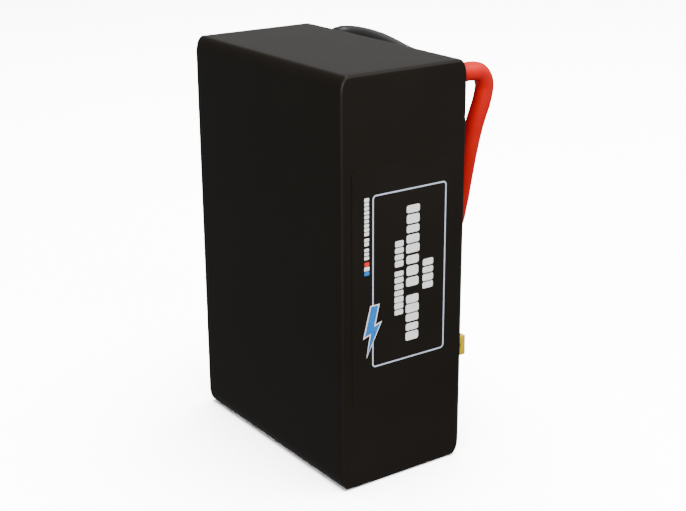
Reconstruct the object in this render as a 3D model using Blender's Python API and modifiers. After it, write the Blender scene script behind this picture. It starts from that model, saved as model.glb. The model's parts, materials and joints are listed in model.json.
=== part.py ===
# Lipo battery pack: pouch cells wrapped in film, with two leads and a two-pole connector.
# Metres, +Z up. The pack stands on its short end, with its origin at the centre of its base.
# +X is the narrow side with the rating label. +Y is the large side that the leads leave.

import math

import bmesh
import bpy
from mathutils import Vector

# Driving dimensions
PACK_WIDTH = 0.0905
PACK_DEPTH = 0.0505
PACK_HEIGHT = 0.142
CLEARANCE = 0.0003

FILM_WALL = 0.00035
FILM_CORNER_Y = 0.003
FILM_CORNER_Z = 0.006
FILM_RIM = 0.0008
CORNER_STEPS = 6

BAND_WALL = 0.00025
BAND_HEIGHT = 0.020
BAND_LEVELS = {"lower_band": 0.030, "upper_band": 0.080}
PLATE_THICKNESS = 0.001
PLATE_TOP = 0.139
PAD_DEPTH = 0.045
PAD_THICKNESS = 0.002

CELL_COUNT = 4
CELL_HEIGHT = 0.1145
CELL_EDGE = 0.0014
CELL_SEAL = (0.0405, 0.001, 0.004)
ADHESIVE_THICKNESS = 0.0004
ADHESIVE_MARGIN = 0.001
DIVIDER_THICKNESS = 0.001

TAB_WIDTH = 0.008
TAB_THICKNESS = 0.0004
TAB_OFFSET = 0.0105
TAB_TOP = 0.1289
SLOT_SIZE = (0.0086, 0.001)

BOARD_SIZE = (0.086, 0.0448)
BOARD_BOTTOM = 0.1249
BOARD_THICKNESS = 0.0016
BAR_THICKNESS = 0.001
BAR_MARGIN = 0.002
BAR_LINK = 0.002
INSULATOR_BOTTOM = 0.1292
INSULATOR_THICKNESS = 0.0003
RETURN_BAR_BOTTOM = 0.1298
RETURN_BAR_THICKNESS = 0.0008

LEAD_DIAMETER = 0.0065
LEAD_START_Y = 0.0161
LEAD_EXIT_Z = 0.135
RED_EXIT_X = 0.0365
BLACK_EXIT_X = 0.0265
LUG_RADIUS = 0.0036
LUG_BACK = 0.0088
LUG_LENGTH = 0.007
LUG_FOOT_HALF = 0.0028
LUG_FOOT_INSET = 0.0004
LUG_FOOT_OVERLAP = 0.001
LUG_CLEARANCE = 0.0005
RETURN_LEG_Y = (-0.0222, -0.0212)
GROMMET_REACH = 0.0044
GROMMET_HOLE = 0.0036
GROMMET_SPAN_Y = (0.0243, 0.02585)

LABEL_SIZE = (0.040, 0.081)
LABEL_CENTRE = (-0.0013, 0.0715)
LABEL_THICKNESS = 0.0001
LABEL_GAP = 0.00005
LABEL_CORNER = 0.002

CONNECTOR_TIP_X = 0.0272
CONNECTOR_Y = 0.03475
CONNECTOR_Z = 0.0314
CONNECTOR_WIDTH = 0.016
CONNECTOR_HEIGHT = 0.008
CONNECTOR_KEY = 0.0012
HOUSING_LENGTH = 0.016
CAP_LENGTH = 0.0085
POLE_OFFSET = 0.003625
CONTACT_RADIUS = 0.0023
CONTACT_BORE = 0.00175
CONTACT_DEPTH = 0.012
CONTACT_LENGTH = 0.017
CONTACT_RECESS = 0.001
CONTACT_CLEARANCE = 0.0002
CAP_BORE_RADIUS = 0.00345

# Edges and margins of the smaller pieces
SEAL_OVERLAP = 0.001
ADHESIVE_END_MARGIN = 0.004
PAD_MARGIN = 0.001
BAND_CORNER = 0.0003
BAR_SIDE_MARGIN = 0.001
BAR_END_MARGIN = 0.003
INSULATOR_LOW = (-0.043, -0.020)
INSULATOR_HIGH = (0.043, 0.0195)
ROUND_END = 0.999
CUT_PAST = 0.002

HALF_WIDTH = PACK_WIDTH / 2
HALF_DEPTH = PACK_DEPTH / 2
BAND_HALF_X = HALF_WIDTH - FILM_WALL - CLEARANCE
BAND_HALF_Y = HALF_DEPTH - FILM_WALL - CLEARANCE
STACK_HALF_X = BAND_HALF_X - BAND_WALL - CLEARANCE
PLATE_OUTER_Y = BAND_HALF_Y - BAND_WALL - CLEARANCE
STACK_HALF_Y = PLATE_OUTER_Y - PLATE_THICKNESS - CLEARANCE
PAD_BOTTOM = FILM_WALL + CLEARANCE
STACK_BOTTOM = PAD_BOTTOM + PAD_THICKNESS + CLEARANCE
CELL_TOP = STACK_BOTTOM + CELL_HEIGHT
SEAL_TOP = CELL_TOP + CELL_SEAL[2]
CELL_WIDTH = STACK_HALF_X - DIVIDER_THICKNESS / 2 - CLEARANCE
CELL_GAP = ADHESIVE_THICKNESS + 2 * CLEARANCE
CELL_THICKNESS = (2 * STACK_HALF_Y - (CELL_COUNT - 1) * CELL_GAP) / CELL_COUNT
CELL_PITCH = CELL_THICKNESS + CELL_GAP
STACK_CENTRE_X = STACK_HALF_X - CELL_WIDTH / 2
ROWS = [(row - (CELL_COUNT - 1) / 2) * CELL_PITCH for row in range(CELL_COUNT)]
INNER_TAB_X = STACK_CENTRE_X - TAB_OFFSET
OUTER_TAB_X = STACK_CENTRE_X + TAB_OFFSET
BAR_BOTTOM = BOARD_BOTTOM + BOARD_THICKNESS + CLEARANCE
BAR_TOP = BAR_BOTTOM + BAR_THICKNESS
HOUSING_BACK_X = CONNECTOR_TIP_X - HOUSING_LENGTH
CAP_FRONT_X = HOUSING_BACK_X - CLEARANCE
CAP_BACK_X = CAP_FRONT_X - CAP_LENGTH
CONTACT_BACK_X = CONNECTOR_TIP_X - CONTACT_RECESS - CONTACT_LENGTH
LEAD_END_X = CONTACT_BACK_X - CLEARANCE
RED_END_Y = CONNECTOR_Y + POLE_OFFSET
BLACK_END_Y = CONNECTOR_Y - POLE_OFFSET

# Free routes of the leads, from the solder cup inside the film to the connector
RED_ROUTE = [
    (RED_EXIT_X, LEAD_START_Y, LEAD_EXIT_Z),
    (RED_EXIT_X, HALF_DEPTH, LEAD_EXIT_Z),
    (0.0363, 0.0338, 0.1354),
    (0.0350, 0.0390, 0.1340),
    (0.0337, 0.0423, 0.1302),
    (0.0322, 0.0430, 0.1246),
    (0.0292, 0.0423, 0.1148),
    (0.0270, 0.0418, 0.1053),
    (0.0248, 0.0418, 0.0957),
    (0.0228, 0.0417, 0.0860),
    (0.0203, 0.0413, 0.0765),
    (0.0144, 0.0405, 0.0678),
    (0.0050, 0.0397, 0.0622),
    (-0.0064, 0.0390, 0.0588),
    (-0.0156, 0.0386, 0.0524),
    (-0.0182, 0.0384, 0.0436),
    (-0.0145, 0.0384, 0.0354),
    (-0.0064, RED_END_Y, 0.0319),
    (CAP_BACK_X, RED_END_Y, CONNECTOR_Z),
    (LEAD_END_X, RED_END_Y, CONNECTOR_Z),
]
BLACK_ROUTE = [
    (BLACK_EXIT_X, LEAD_START_Y, LEAD_EXIT_Z),
    (BLACK_EXIT_X, HALF_DEPTH, LEAD_EXIT_Z),
    (0.0262, 0.0300, 0.1348),
    (0.0244, 0.0343, 0.1341),
    (0.0208, 0.0370, 0.1334),
    (0.0150, 0.0381, 0.1331),
    (0.0060, 0.0382, 0.1335),
    (-0.0040, 0.0380, 0.1344),
    (-0.0130, 0.0384, 0.1358),
    (-0.0215, 0.0387, 0.1368),
    (-0.0290, 0.0378, 0.1374),
    (-0.0345, 0.0356, 0.1377),
    (-0.0384, 0.0322, 0.1372),
    (-0.0406, 0.0297, 0.1342),
    (-0.0414, 0.0290, 0.1280),
    (-0.0415, 0.0290, 0.1190),
    (-0.0414, 0.0294, 0.1060),
    (-0.0408, 0.0302, 0.0860),
    (-0.0385, 0.0307, 0.0670),
    (-0.0336, 0.0310, 0.0490),
    (-0.0244, 0.0311, 0.0370),
    (-0.0120, BLACK_END_Y, 0.0321),
    (CAP_BACK_X, BLACK_END_Y, CONNECTOR_Z),
    (LEAD_END_X, BLACK_END_Y, CONNECTOR_Z),
]
LEAD_POINTS = 34


def clear_scene():
    for item in list(bpy.data.objects):
        bpy.data.objects.remove(item, do_unlink=True)


def new_collection(name):
    group = bpy.data.collections.new(name)
    bpy.context.scene.collection.children.link(group)
    return group


def new_material(name, colour, roughness, metallic=0.0):
    material = bpy.data.materials.new(name)
    material.use_nodes = True
    shader = material.node_tree.nodes["Principled BSDF"]
    shader.inputs["Base Color"].default_value = (*colour, 1.0)
    shader.inputs["Roughness"].default_value = roughness
    shader.inputs["Metallic"].default_value = metallic
    return material


clear_scene()
pack = new_collection("lipo_battery_pack")
cutters = new_collection("cutters")

film_black = new_material("film_black", (0.013, 0.012, 0.010), 0.42)
label_black = new_material("label_black", (0.014, 0.012, 0.010), 0.5)
lead_red = new_material("lead_red", (0.62, 0.045, 0.02), 0.45)
lead_black = new_material("lead_black", (0.02, 0.02, 0.02), 0.45)
nylon_yellow = new_material("nylon_yellow", (0.75, 0.47, 0.10), 0.4)
contact_gold = new_material("contact_gold", (0.9, 0.62, 0.22), 0.25, 1.0)
pouch_silver = new_material("pouch_silver", (0.62, 0.63, 0.65), 0.35, 1.0)
tab_aluminium = new_material("tab_aluminium", (0.80, 0.81, 0.82), 0.3, 1.0)
tab_nickel = new_material("tab_nickel", (0.66, 0.62, 0.55), 0.3, 1.0)
bar_copper = new_material("bar_copper", (0.72, 0.34, 0.18), 0.3, 1.0)
lug_tinned = new_material("lug_tinned", (0.70, 0.70, 0.68), 0.35, 1.0)
board_green = new_material("board_green", (0.02, 0.12, 0.05), 0.45)
glass_fibre = new_material("glass_fibre", (0.35, 0.42, 0.20), 0.5)
tape_amber = new_material("tape_amber", (0.55, 0.30, 0.05), 0.3)
tape_white = new_material("tape_white", (0.80, 0.80, 0.76), 0.7)
foam_grey = new_material("foam_grey", (0.06, 0.06, 0.06), 0.95)
paper_tan = new_material("paper_tan", (0.42, 0.30, 0.16), 0.8)
rubber_black = new_material("rubber_black", (0.015, 0.015, 0.015), 0.7)


def add_object(name, mesh, material, centre=(0, 0, 0), group=pack):
    item = bpy.data.objects.new(name, mesh)
    item.location = centre
    group.objects.link(item)
    if material:
        mesh.materials.clear()
        mesh.materials.append(material)
    return item


def hide_cutter(item):
    item.hide_render = True
    item.display_type = "WIRE"


def block_mesh(name, size, centre=(0, 0, 0)):
    shape = bmesh.new()
    bmesh.ops.create_cube(shape, size=1.0)
    bmesh.ops.scale(shape, vec=size, verts=shape.verts)
    bmesh.ops.translate(shape, vec=centre, verts=shape.verts)
    mesh = bpy.data.meshes.new(name)
    shape.to_mesh(mesh)
    shape.free()
    return mesh


def add_block(name, low, high, material, edge=0.0, group=pack):
    # A block between two corners, with its origin at its middle
    size = [top - bottom for bottom, top in zip(low, high)]
    centre = [(top + bottom) / 2 for bottom, top in zip(low, high)]
    item = add_object(name, block_mesh(name, size), material, centre, group)
    if edge:
        add_bevel(item, edge, 2)
    return item


def add_bevel(item, width, segments, angle=math.radians(40)):
    bevel = item.modifiers.new("edge", "BEVEL")
    bevel.width = width
    bevel.segments = segments
    bevel.limit_method = "ANGLE"
    bevel.angle_limit = angle
    return bevel


def add_cylinder(name, start, length, radius, turn, material, group=pack, segments=24):
    # A cylinder along X when turn is "X", along Y when it is "Y", from its start point
    along = Vector((1, 0, 0)) if turn == "X" else Vector((0, 1, 0))
    shape = bmesh.new()
    bmesh.ops.create_cone(shape, cap_ends=True, segments=segments, radius1=radius,
                          radius2=radius, depth=length)
    mesh = bpy.data.meshes.new(name)
    shape.to_mesh(mesh)
    shape.free()
    item = add_object(name, mesh, material, Vector(start) + along * length / 2, group)
    item.rotation_euler = (0, math.pi / 2, 0) if turn == "X" else (math.pi / 2, 0, 0)
    return item


def use_boolean(item, other, operation):
    modifier = item.modifiers.new(operation.lower(), "BOOLEAN")
    modifier.operation = operation
    modifier.object = other
    modifier.solver = "EXACT"
    hide_cutter(other)


def bake_mesh(item):
    # The evaluated mesh takes the place of the mesh and its modifiers
    graph = bpy.context.evaluated_depsgraph_get()
    mesh = bpy.data.meshes.new_from_object(item.evaluated_get(graph))
    item.modifiers.clear()
    item.data = mesh
    return item


FLAT = (0, 0, 0)                                # outline in X and Y, thickness along Z
FACING_X = (math.pi / 2, 0, math.pi / 2)        # outline in Y and Z, thickness along X
FACING_Y = (math.pi / 2, 0, math.pi)            # outline in -X and Z, thickness along Y


def add_outline(name, points, thickness, centre, turn, material, group=pack):
    # A flat outline given a thickness, with its caps welded
    curve = bpy.data.curves.new(name, "CURVE")
    curve.dimensions = "2D"
    curve.fill_mode = "BOTH"
    curve.extrude = thickness / 2
    spline = curve.splines.new("POLY")
    spline.points.add(len(points) - 1)
    for point, (across, up) in zip(spline.points, points):
        point.co = (across, up, 0, 1)
    spline.use_cyclic_u = True
    drawn = add_object(name + "_outline", curve, None, centre, group)
    drawn.rotation_euler = turn
    return mesh_from_curve(drawn, name, material, group)


def mesh_from_curve(drawn, name, material, group=pack):
    graph = bpy.context.evaluated_depsgraph_get()
    mesh = bpy.data.meshes.new_from_object(drawn.evaluated_get(graph))
    shape = bmesh.new()
    shape.from_mesh(mesh)
    bmesh.ops.remove_doubles(shape, verts=shape.verts, dist=0.00001)
    bmesh.ops.recalc_face_normals(shape, faces=shape.faces)
    shape.to_mesh(mesh)
    shape.free()
    item = add_object(name, mesh, material, (0, 0, 0), group)
    item.matrix_world = drawn.matrix_world.copy()
    bpy.data.objects.remove(drawn, do_unlink=True)
    return item


def rounded_outline(half_across, half_up, corner_across, corner_up, steps):
    # A rectangle about the middle with quarter ellipses at its corners
    points = []
    for corner, (side, level) in enumerate([(1, 1), (-1, 1), (-1, -1), (1, -1)]):
        for step in range(steps + 1):
            angle = math.pi / 2 * (corner + step / steps)
            across = side * (half_across - corner_across) + corner_across * math.cos(angle)
            up = level * (half_up - corner_up) + corner_up * math.sin(angle)
            points.append((across, up))
    return points


def chamfered_outline(half_across, half_up, key):
    # A rectangle whose two corners on the negative side are cut off, so that it fits one way
    return [
        (-half_across + key, -half_up),
        (half_across, -half_up),
        (half_across, half_up),
        (-half_across + key, half_up),
        (-half_across, half_up - key),
        (-half_across, -half_up + key),
    ]


def smooth_route(points, count):
    # Evenly spaced points on a centripetal Catmull-Rom curve through the route's points
    path = [Vector(point) for point in points]
    path = [2 * path[0] - path[1]] + path + [2 * path[-1] - path[-2]]
    fine = []
    for index in range(1, len(path) - 2):
        before, start, end, after = path[index - 1:index + 3]
        knots = [0.0]
        for left, right in ((before, start), (start, end), (end, after)):
            knots.append(knots[-1] + math.sqrt((right - left).length))
        for step in range(16):
            at = knots[1] + (knots[2] - knots[1]) * step / 16
            first = before.lerp(start, at / knots[1])
            second = start.lerp(end, (at - knots[1]) / (knots[2] - knots[1]))
            third = end.lerp(after, (at - knots[2]) / (knots[3] - knots[2]))
            early = first.lerp(second, at / knots[2])
            late = second.lerp(third, (at - knots[1]) / (knots[3] - knots[1]))
            fine.append(early.lerp(late, (at - knots[1]) / (knots[2] - knots[1])))
    fine.append(path[-2])
    return even_points(fine, count)


def even_points(fine, count):
    lengths = [0.0]
    for left, right in zip(fine, fine[1:]):
        lengths.append(lengths[-1] + (right - left).length)
    points = []
    place = 0
    for number in range(count):
        wanted = lengths[-1] * number / (count - 1)
        while place < len(fine) - 2 and lengths[place + 1] < wanted:
            place += 1
        share = (wanted - lengths[place]) / (lengths[place + 1] - lengths[place])
        points.append(fine[place].lerp(fine[place + 1], share))
    return points


def add_lead(name, route, material):
    curve = bpy.data.curves.new(name, "CURVE")
    curve.dimensions = "3D"
    curve.resolution_u = 1
    curve.render_resolution_u = 0
    curve.bevel_depth = LEAD_DIAMETER / 2
    curve.bevel_resolution = 3
    curve.use_fill_caps = True
    spline = curve.splines.new("POLY")
    points = smooth_route(route, LEAD_POINTS)
    spline.points.add(len(points) - 1)
    for point, place in zip(spline.points, points):
        point.co = (*place, 1)
    return add_object(name, curve, material)


# Film, label and grommet

def make_shrink_wrap():
    middle = (0, 0, PACK_HEIGHT / 2)
    outer = rounded_outline(HALF_DEPTH, PACK_HEIGHT / 2, FILM_CORNER_Y, FILM_CORNER_Z,
                            CORNER_STEPS)
    film = add_outline("shrink_wrap", outer, PACK_WIDTH, middle, FACING_X, film_black)
    add_bevel(film, FILM_RIM, 2)
    inner = rounded_outline(HALF_DEPTH - FILM_WALL, PACK_HEIGHT / 2 - FILM_WALL,
                            FILM_CORNER_Y - FILM_WALL, FILM_CORNER_Z - FILM_WALL, CORNER_STEPS)
    hollow = add_outline("film_hollow", inner, PACK_WIDTH - 2 * FILM_WALL, middle, FACING_X,
                         None, cutters)
    use_boolean(film, hollow, "DIFFERENCE")
    exit_hole = add_exit_outline("lead_exit", GROMMET_REACH + CLEARANCE, 4 * CUT_PAST, HALF_DEPTH,
                                 None, cutters)
    use_boolean(film, exit_hole, "DIFFERENCE")


def add_exit_outline(name, reach, thickness, middle_y, material, group):
    # A slot shape with round ends about the two lead exits
    half_across = (RED_EXIT_X - BLACK_EXIT_X) / 2 + reach
    outline = rounded_outline(half_across, reach, reach * ROUND_END, reach * ROUND_END, 6)
    centre = ((RED_EXIT_X + BLACK_EXIT_X) / 2, middle_y, LEAD_EXIT_Z)
    return add_outline(name, outline, thickness, centre, FACING_Y, material, group)


def make_grommet():
    near, far = GROMMET_SPAN_Y
    grommet = add_exit_outline("lead_grommet", GROMMET_REACH, far - near, (near + far) / 2,
                               rubber_black, pack)
    for name, across in (("red_hole", RED_EXIT_X), ("black_hole", BLACK_EXIT_X)):
        hole = add_cylinder(name, (across, near - CUT_PAST, LEAD_EXIT_Z), far - near + 2 * CUT_PAST,
                            GROMMET_HOLE, "Y", None, cutters)
        use_boolean(grommet, hole, "DIFFERENCE")


def make_label():
    across, up = LABEL_SIZE
    middle_y, middle_z = LABEL_CENTRE
    near = HALF_WIDTH + LABEL_GAP
    outline = rounded_outline(across / 2, up / 2, LABEL_CORNER, LABEL_CORNER, 3)
    add_outline("rating_label", outline, LABEL_THICKNESS,
                (near + LABEL_THICKNESS / 2, middle_y, middle_z), FACING_X, label_black)


# Cells, tabs and what holds them

def make_cells():
    size = (CELL_WIDTH, CELL_THICKNESS, CELL_HEIGHT)
    first = add_object("pouch_cell_left_1", block_mesh("pouch_cell", size), pouch_silver)
    add_bevel(first, CELL_EDGE, 2)
    seal_low = [-CELL_SEAL[0] / 2, -CELL_SEAL[1] / 2, CELL_HEIGHT / 2 - SEAL_OVERLAP]
    seal_high = [CELL_SEAL[0] / 2, CELL_SEAL[1] / 2, CELL_HEIGHT / 2 + CELL_SEAL[2]]
    seal = add_block("cell_seal", seal_low, seal_high, None, 0.0, cutters)
    use_boolean(first, seal, "UNION")
    bake_mesh(first)
    middle_z = STACK_BOTTOM + CELL_HEIGHT / 2
    for side, middle_x in (("left", -STACK_CENTRE_X), ("right", STACK_CENTRE_X)):
        for row, middle_y in enumerate(ROWS, start=1):
            name = f"pouch_cell_{side}_{row}"
            item = bpy.data.objects.get(name) or add_object(name, first.data, None)
            item.location = (middle_x, middle_y, middle_z)


def make_tabs():
    bottom = SEAL_TOP + CLEARANCE
    mesh = block_mesh("cell_tab", (TAB_WIDTH, TAB_THICKNESS, TAB_TOP - bottom))
    for side, sign in (("left", -1), ("right", 1)):
        for row, middle_y in enumerate(ROWS, start=1):
            outer_pole = "negative" if row % 2 else "positive"
            inner_pole = "positive" if row % 2 else "negative"
            for pole, middle_x in ((outer_pole, OUTER_TAB_X), (inner_pole, INNER_TAB_X)):
                metal = tab_nickel if pole == "negative" else tab_aluminium
                name = f"{pole}_tab_{side}_{row}"
                place = (sign * middle_x, middle_y, (bottom + TAB_TOP) / 2)
                add_object(name, mesh.copy(), metal, place)


def make_adhesive():
    near = DIVIDER_THICKNESS / 2 + CLEARANCE + ADHESIVE_MARGIN
    far = STACK_HALF_X - ADHESIVE_MARGIN
    for side, sign in (("left", -1), ("right", 1)):
        edges = sorted((sign * near, sign * far))
        for gap in range(1, CELL_COUNT):
            middle = (ROWS[gap - 1] + ROWS[gap]) / 2
            low = (edges[0], middle - ADHESIVE_THICKNESS / 2, STACK_BOTTOM + ADHESIVE_END_MARGIN)
            high = (edges[1], middle + ADHESIVE_THICKNESS / 2, CELL_TOP - ADHESIVE_END_MARGIN)
            add_block(f"adhesive_sheet_{side}_{gap}", low, high, tape_white)


def make_divider():
    half = DIVIDER_THICKNESS / 2
    add_block("stack_divider", (-half, -STACK_HALF_Y, STACK_BOTTOM), (half, STACK_HALF_Y, CELL_TOP),
              foam_grey)


def make_plates():
    inner = STACK_HALF_Y + CLEARANCE
    add_block("front_plate", (-STACK_HALF_X, -PLATE_OUTER_Y, STACK_BOTTOM),
              (STACK_HALF_X, -inner, PLATE_TOP), glass_fibre)
    rear = add_block("rear_plate", (-STACK_HALF_X, inner, STACK_BOTTOM),
                     (STACK_HALF_X, PLATE_OUTER_Y, PLATE_TOP), glass_fibre)
    reach = GROMMET_REACH + CLEARANCE
    notch = add_block("lead_notch", (BLACK_EXIT_X - reach, inner - CUT_PAST, LEAD_EXIT_Z - reach),
                      (RED_EXIT_X + reach, PLATE_OUTER_Y + CUT_PAST, PLATE_TOP + CUT_PAST),
                      None, 0.0, cutters)
    use_boolean(rear, notch, "DIFFERENCE")


def make_bands():
    for name, bottom in BAND_LEVELS.items():
        middle = (0, 0, bottom + BAND_HEIGHT / 2)
        outer = rounded_outline(BAND_HALF_X, BAND_HALF_Y, BAND_CORNER, BAND_CORNER, 1)
        band = add_outline(name, outer, BAND_HEIGHT, middle, FLAT, tape_amber)
        inside = add_block(name + "_inside",
                           (BAND_WALL - BAND_HALF_X, BAND_WALL - BAND_HALF_Y, bottom - CUT_PAST),
                           (BAND_HALF_X - BAND_WALL, BAND_HALF_Y - BAND_WALL,
                            bottom + BAND_HEIGHT + CUT_PAST), None, 0.0, cutters)
        use_boolean(band, inside, "DIFFERENCE")


def make_pads():
    top = PACK_HEIGHT - FILM_WALL - CLEARANCE
    half_x = STACK_HALF_X - PAD_MARGIN
    half_y = PAD_DEPTH / 2
    add_block("base_pad", (-half_x, -half_y, PAD_BOTTOM),
              (half_x, half_y, PAD_BOTTOM + PAD_THICKNESS), foam_grey)
    add_block("top_pad", (-half_x, -half_y, top - PAD_THICKNESS), (half_x, half_y, top),
              foam_grey)


# Tab board, bus bars and solder cups

def make_slot_cutter():
    shape = bmesh.new()
    height = 4 * CUT_PAST
    for sign in (-1, 1):
        for across in (INNER_TAB_X, OUTER_TAB_X):
            for row in ROWS:
                made = bmesh.ops.create_cube(shape, size=1.0)
                bmesh.ops.scale(shape, vec=(*SLOT_SIZE, height), verts=made["verts"])
                bmesh.ops.translate(shape, vec=(sign * across, row, BAR_BOTTOM),
                                    verts=made["verts"])
    mesh = bpy.data.meshes.new("tab_slots")
    shape.to_mesh(mesh)
    shape.free()
    return add_object("tab_slots", mesh, None, (0, 0, 0), cutters)


def make_board(slots):
    half_x = BOARD_SIZE[0] / 2
    half_y = BOARD_SIZE[1] / 2
    board = add_block("tab_board", (-half_x, -half_y, BOARD_BOTTOM),
                      (half_x, half_y, BOARD_BOTTOM + BOARD_THICKNESS), board_green)
    use_boolean(board, slots, "DIFFERENCE")


def make_bus_bars(slots):
    half_tab = TAB_WIDTH / 2 + BAR_SIDE_MARGIN
    inner = INNER_TAB_X + half_tab
    near = OUTER_TAB_X - half_tab
    far = OUTER_TAB_X + half_tab + BAR_END_MARGIN
    edge = BOARD_SIZE[1] / 2
    middle = (0, 0, BAR_BOTTOM + BAR_THICKNESS / 2)
    low, lower, upper, high = ROWS
    link = BAR_LINK
    margin = BAR_MARGIN
    cup_edge = LUG_BACK
    outlines = {
        "negative_bus_bar": [
            (-far, -edge), (far, -edge), (far, low + margin), (near, low + margin),
            (near, link - edge), (-near, link - edge), (-near, low + margin),
            (-far, low + margin)],
        "series_bus_bar_1": [
            (-inner, low - margin), (inner, low - margin), (inner, lower + margin),
            (-inner, lower + margin)],
        "series_bus_bar_2": [
            (-far, lower - margin), (-near, lower - margin), (-near, -link), (near, -link),
            (near, lower - margin), (far, lower - margin), (far, upper + margin),
            (near, upper + margin), (near, link), (-near, link), (-near, upper + margin),
            (-far, upper + margin)],
        "series_bus_bar_3": [
            (-inner, upper - margin), (inner, upper - margin), (inner, high + margin),
            (-inner, high + margin)],
        "positive_bus_bar": [
            (-far, high - margin), (-near, high - margin), (-near, edge - link),
            (near, edge - link), (near, cup_edge), (far, cup_edge), (far, edge), (-far, edge)],
    }
    for name, outline in outlines.items():
        bar = add_outline(name, outline, BAR_THICKNESS, middle, FLAT, bar_copper)
        use_boolean(bar, slots, "DIFFERENCE")


def make_insulator():
    sheet = add_block("board_insulator", (*INSULATOR_LOW, INSULATOR_BOTTOM),
                      (*INSULATOR_HIGH, INSULATOR_BOTTOM + INSULATOR_THICKNESS), paper_tan)
    reach = LUG_RADIUS + LUG_CLEARANCE
    notch = add_block("cup_notch", (RED_EXIT_X - reach, LUG_BACK - LUG_CLEARANCE,
                                   INSULATOR_BOTTOM - CUT_PAST),
                      (RED_EXIT_X + reach, HALF_DEPTH,
                       INSULATOR_BOTTOM + INSULATOR_THICKNESS + CUT_PAST), None, 0.0, cutters)
    use_boolean(sheet, notch, "DIFFERENCE")


def make_return_bar():
    # Its leg stands on the negative bus bar, and its arm ends under the negative cup
    leg_far, leg_near = RETURN_LEG_Y
    arm_end = LUG_BACK + LUG_LENGTH
    leg_bottom = BAR_TOP + CLEARANCE
    top = RETURN_BAR_BOTTOM + RETURN_BAR_THICKNESS
    outline = [(leg_far, leg_bottom), (leg_near, leg_bottom), (leg_near, RETURN_BAR_BOTTOM),
               (arm_end, RETURN_BAR_BOTTOM), (arm_end, top), (leg_far, top)]
    add_outline("return_bar", outline, TAB_WIDTH, (BLACK_EXIT_X, 0, 0), FACING_X, bar_copper)


def make_cups():
    for name, across, foot in (("positive_lug", RED_EXIT_X, BAR_TOP + CLEARANCE),
                               ("negative_lug", BLACK_EXIT_X,
                                RETURN_BAR_BOTTOM + RETURN_BAR_THICKNESS + CLEARANCE)):
        cup = add_cylinder(name, (across, LUG_BACK, LEAD_EXIT_Z), LUG_LENGTH, LUG_RADIUS, "Y",
                           lug_tinned)
        base = add_block(name + "_foot", (across - LUG_FOOT_HALF, LUG_BACK + LUG_FOOT_INSET, foot),
                         (across + LUG_FOOT_HALF, LUG_BACK + LUG_LENGTH - LUG_FOOT_INSET,
                          LEAD_EXIT_Z - LUG_FOOT_OVERLAP), None, 0.0, cutters)
        use_boolean(cup, base, "UNION")


# Connector on the free end of the leads

def make_housing():
    outline = chamfered_outline(CONNECTOR_WIDTH / 2, CONNECTOR_HEIGHT / 2, CONNECTOR_KEY)
    centre = (CONNECTOR_TIP_X - HOUSING_LENGTH / 2, CONNECTOR_Y, CONNECTOR_Z)
    housing = add_outline("connector_housing", outline, HOUSING_LENGTH, centre, FACING_X,
                          nylon_yellow)
    for name, across in (("positive_bore", RED_END_Y), ("negative_bore", BLACK_END_Y)):
        bore = add_cylinder(name, (HOUSING_BACK_X - CUT_PAST, across, CONNECTOR_Z),
                            HOUSING_LENGTH + 2 * CUT_PAST, CONTACT_RADIUS + CONTACT_CLEARANCE,
                            "X", None, cutters)
        use_boolean(housing, bore, "DIFFERENCE")


def make_cap():
    outline = chamfered_outline(CONNECTOR_WIDTH / 2, CONNECTOR_HEIGHT / 2, CONNECTOR_KEY)
    centre = (CAP_FRONT_X - CAP_LENGTH / 2, CONNECTOR_Y, CONNECTOR_Z)
    cap = add_outline("connector_cap", outline, CAP_LENGTH, centre, FACING_X, nylon_yellow)
    bore = rounded_outline(POLE_OFFSET + CAP_BORE_RADIUS, CAP_BORE_RADIUS,
                           CAP_BORE_RADIUS * ROUND_END, CAP_BORE_RADIUS * ROUND_END, 6)
    hollow = add_outline("cap_hollow", bore, CAP_LENGTH + 2 * CUT_PAST, centre, FACING_X, None,
                         cutters)
    use_boolean(cap, hollow, "DIFFERENCE")


def make_contacts():
    for name, across in (("positive_contact", RED_END_Y), ("negative_contact", BLACK_END_Y)):
        contact = add_cylinder(name, (CONTACT_BACK_X, across, CONNECTOR_Z), CONTACT_LENGTH,
                               CONTACT_RADIUS, "X", contact_gold)
        start = CONTACT_BACK_X + CONTACT_LENGTH - CONTACT_DEPTH
        bore = add_cylinder(name + "_bore", (start, across, CONNECTOR_Z), CONTACT_DEPTH + CUT_PAST,
                            CONTACT_BORE, "X", None, cutters)
        use_boolean(contact, bore, "DIFFERENCE")


make_shrink_wrap()
make_grommet()
make_label()
make_cells()
make_tabs()
make_adhesive()
make_divider()
make_plates()
make_bands()
make_pads()
tab_slots = make_slot_cutter()
make_board(tab_slots)
make_bus_bars(tab_slots)
make_insulator()
make_return_bar()
make_cups()
add_lead("red_lead", RED_ROUTE, lead_red)
add_lead("black_lead", BLACK_ROUTE, lead_black)
make_housing()
make_cap()
make_contacts()
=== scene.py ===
import json
import math

import bmesh
import bpy
from mathutils import Matrix, Vector, noise


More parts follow.
